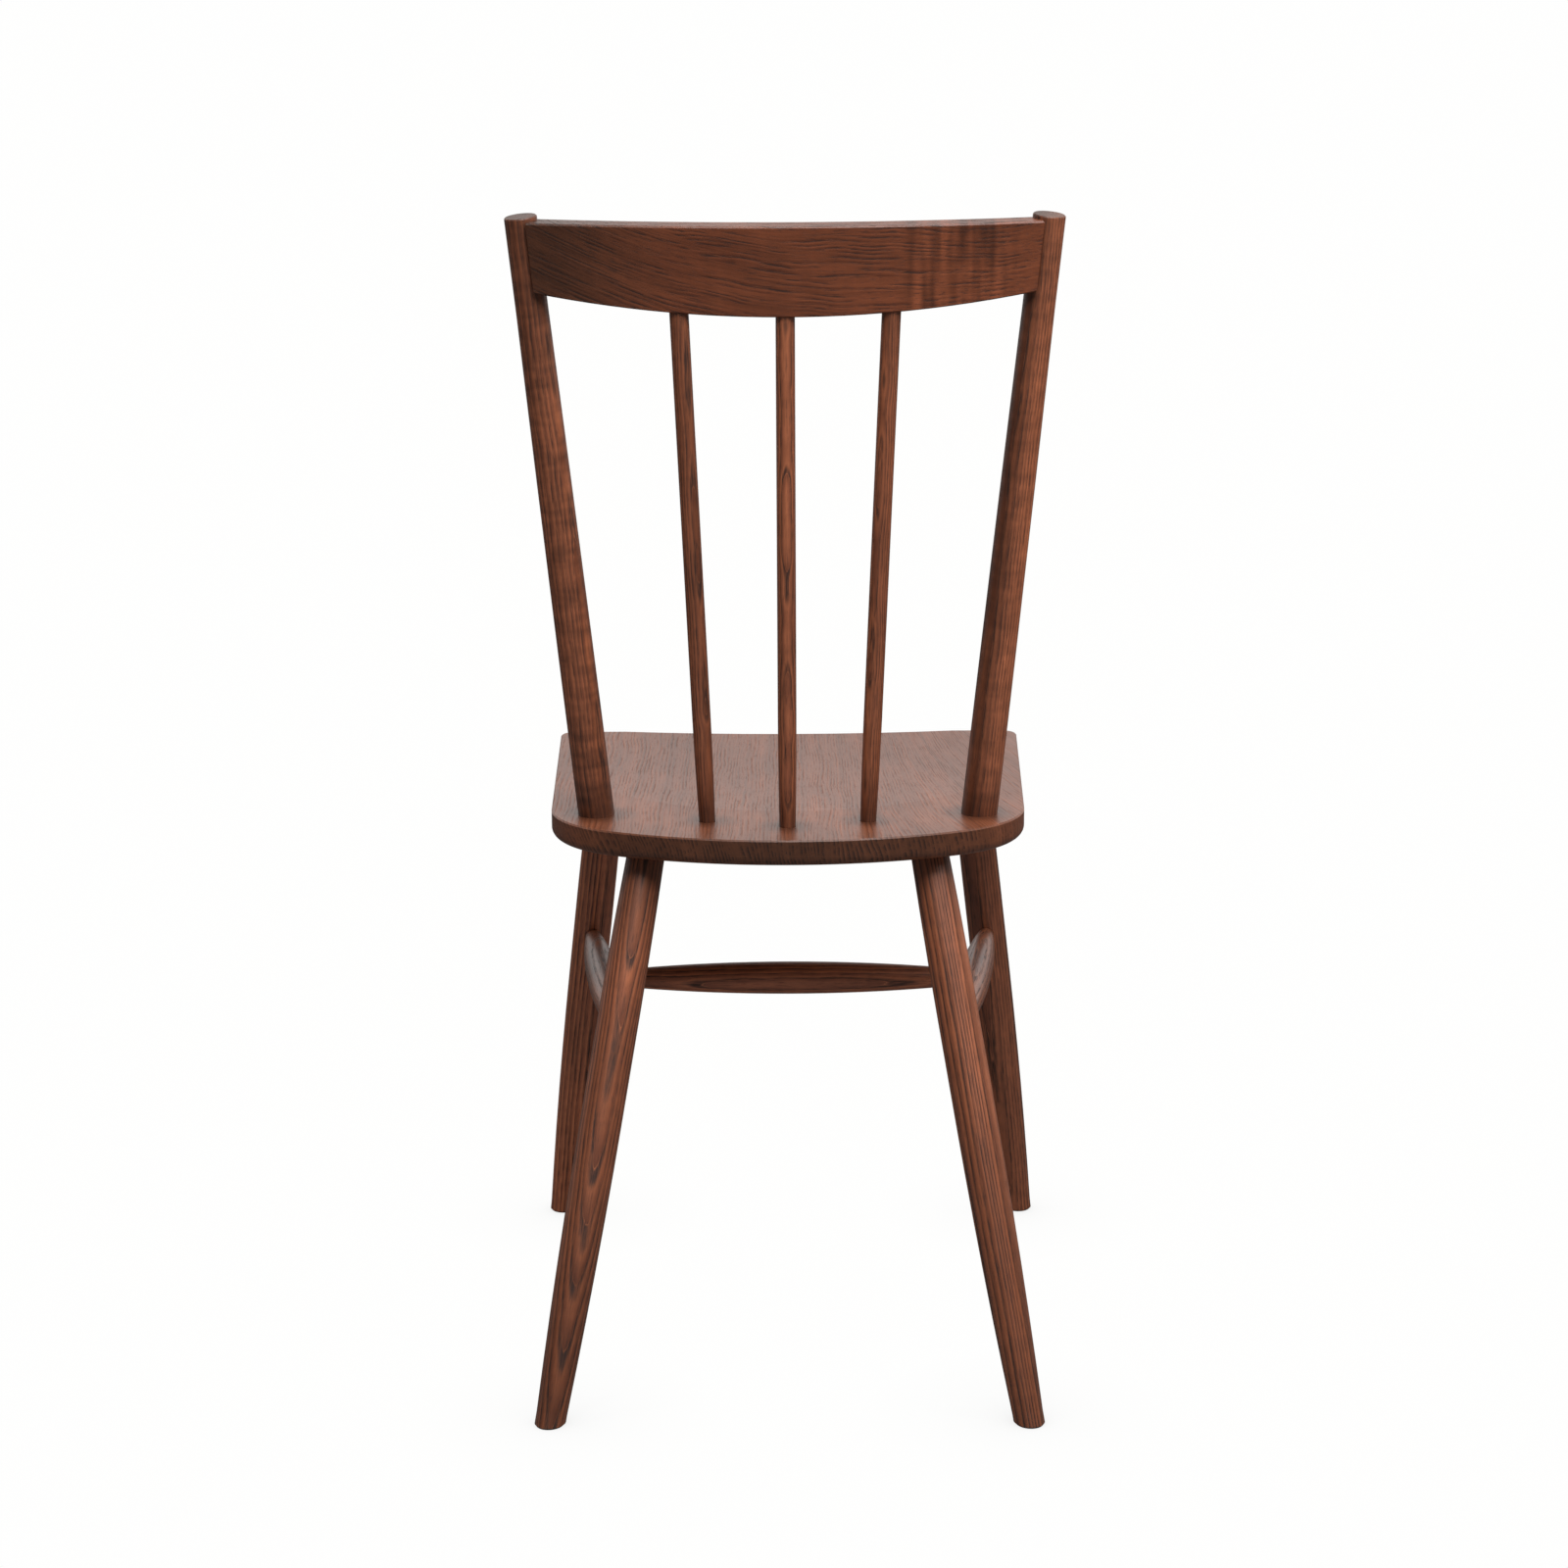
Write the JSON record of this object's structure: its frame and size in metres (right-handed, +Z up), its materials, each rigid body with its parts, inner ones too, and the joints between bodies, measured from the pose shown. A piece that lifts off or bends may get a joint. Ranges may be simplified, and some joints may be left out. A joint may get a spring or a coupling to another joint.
{
  "type": "spindle-back dining chair",
  "caption": "Windsor dining chair in dark stained wood: saddled seat, splayed turned legs with stretchers, raked posts, slim spindles and a bent crest rail.",
  "frame": {"origin": "on the floor, under the middle of the four feet", "axes": "+Z up, +Y towards the sitter's knees, +X across the seat"},
  "size_m": [0.4538, 0.5155, 0.9535],
  "materials": {
    "seat_wood": "satin lacquer over a reddish dark brown stain",
    "crest_wood": "satin lacquer over a reddish dark brown stain",
    "turned_wood": "satin lacquer over a reddish dark brown stain",
    "dowel_wood": "bare beech, hidden"
  },
  "bodies": {
    "root": {"seat": "seat_wood", "crest_rail": "crest_wood", "back_post_right": "turned_wood", "back_post_left": "turned_wood", "spindle_right": "turned_wood", "spindle_middle": "turned_wood", "spindle_left": "turned_wood", "rear_leg_right": "turned_wood", "rear_leg_left": "turned_wood", "front_leg_right": "turned_wood", "front_leg_left": "turned_wood", "side_stretcher_right": "turned_wood", "side_stretcher_left": "turned_wood", "cross_stretcher": "turned_wood", "crest_dowel_upper_right": "dowel_wood", "crest_dowel_lower_right": "dowel_wood", "crest_dowel_upper_left": "dowel_wood", "crest_dowel_lower_left": "dowel_wood"}
  },
  "joints": []
}
